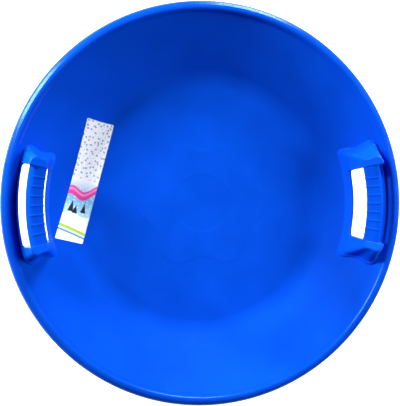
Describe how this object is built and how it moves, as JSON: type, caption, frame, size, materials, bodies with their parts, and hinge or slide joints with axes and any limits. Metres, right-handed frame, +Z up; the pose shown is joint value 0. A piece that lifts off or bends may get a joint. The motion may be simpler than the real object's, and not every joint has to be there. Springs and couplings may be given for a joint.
{
  "type": "saucer sled",
  "caption": "Round plastic saucer sled with a flat floor, conical wall, rolled rim and ribbed hand grips over slots in the wall.",
  "frame": {"origin": "centre of the flat underside of the floor", "axes": "+Z up out of the bowl, the two hand grips on -X and +X"},
  "size_m": [0.6, 0.6, 0.1255],
  "materials": {
    "blue_plastic": "satin moulded polyethylene",
    "label_film": "printed film label"
  },
  "bodies": {
    "root": {"dish": "blue_plastic", "rim": "blue_plastic", "left_rear_post": "blue_plastic", "left_front_post": "blue_plastic", "right_rear_post": "blue_plastic", "right_front_post": "blue_plastic", "left_grip": "blue_plastic", "right_grip": "blue_plastic", "left_inner_rail": "blue_plastic", "right_inner_rail": "blue_plastic", "left_outer_rail": "blue_plastic", "right_outer_rail": "blue_plastic", "label": "label_film"}
  },
  "joints": []
}
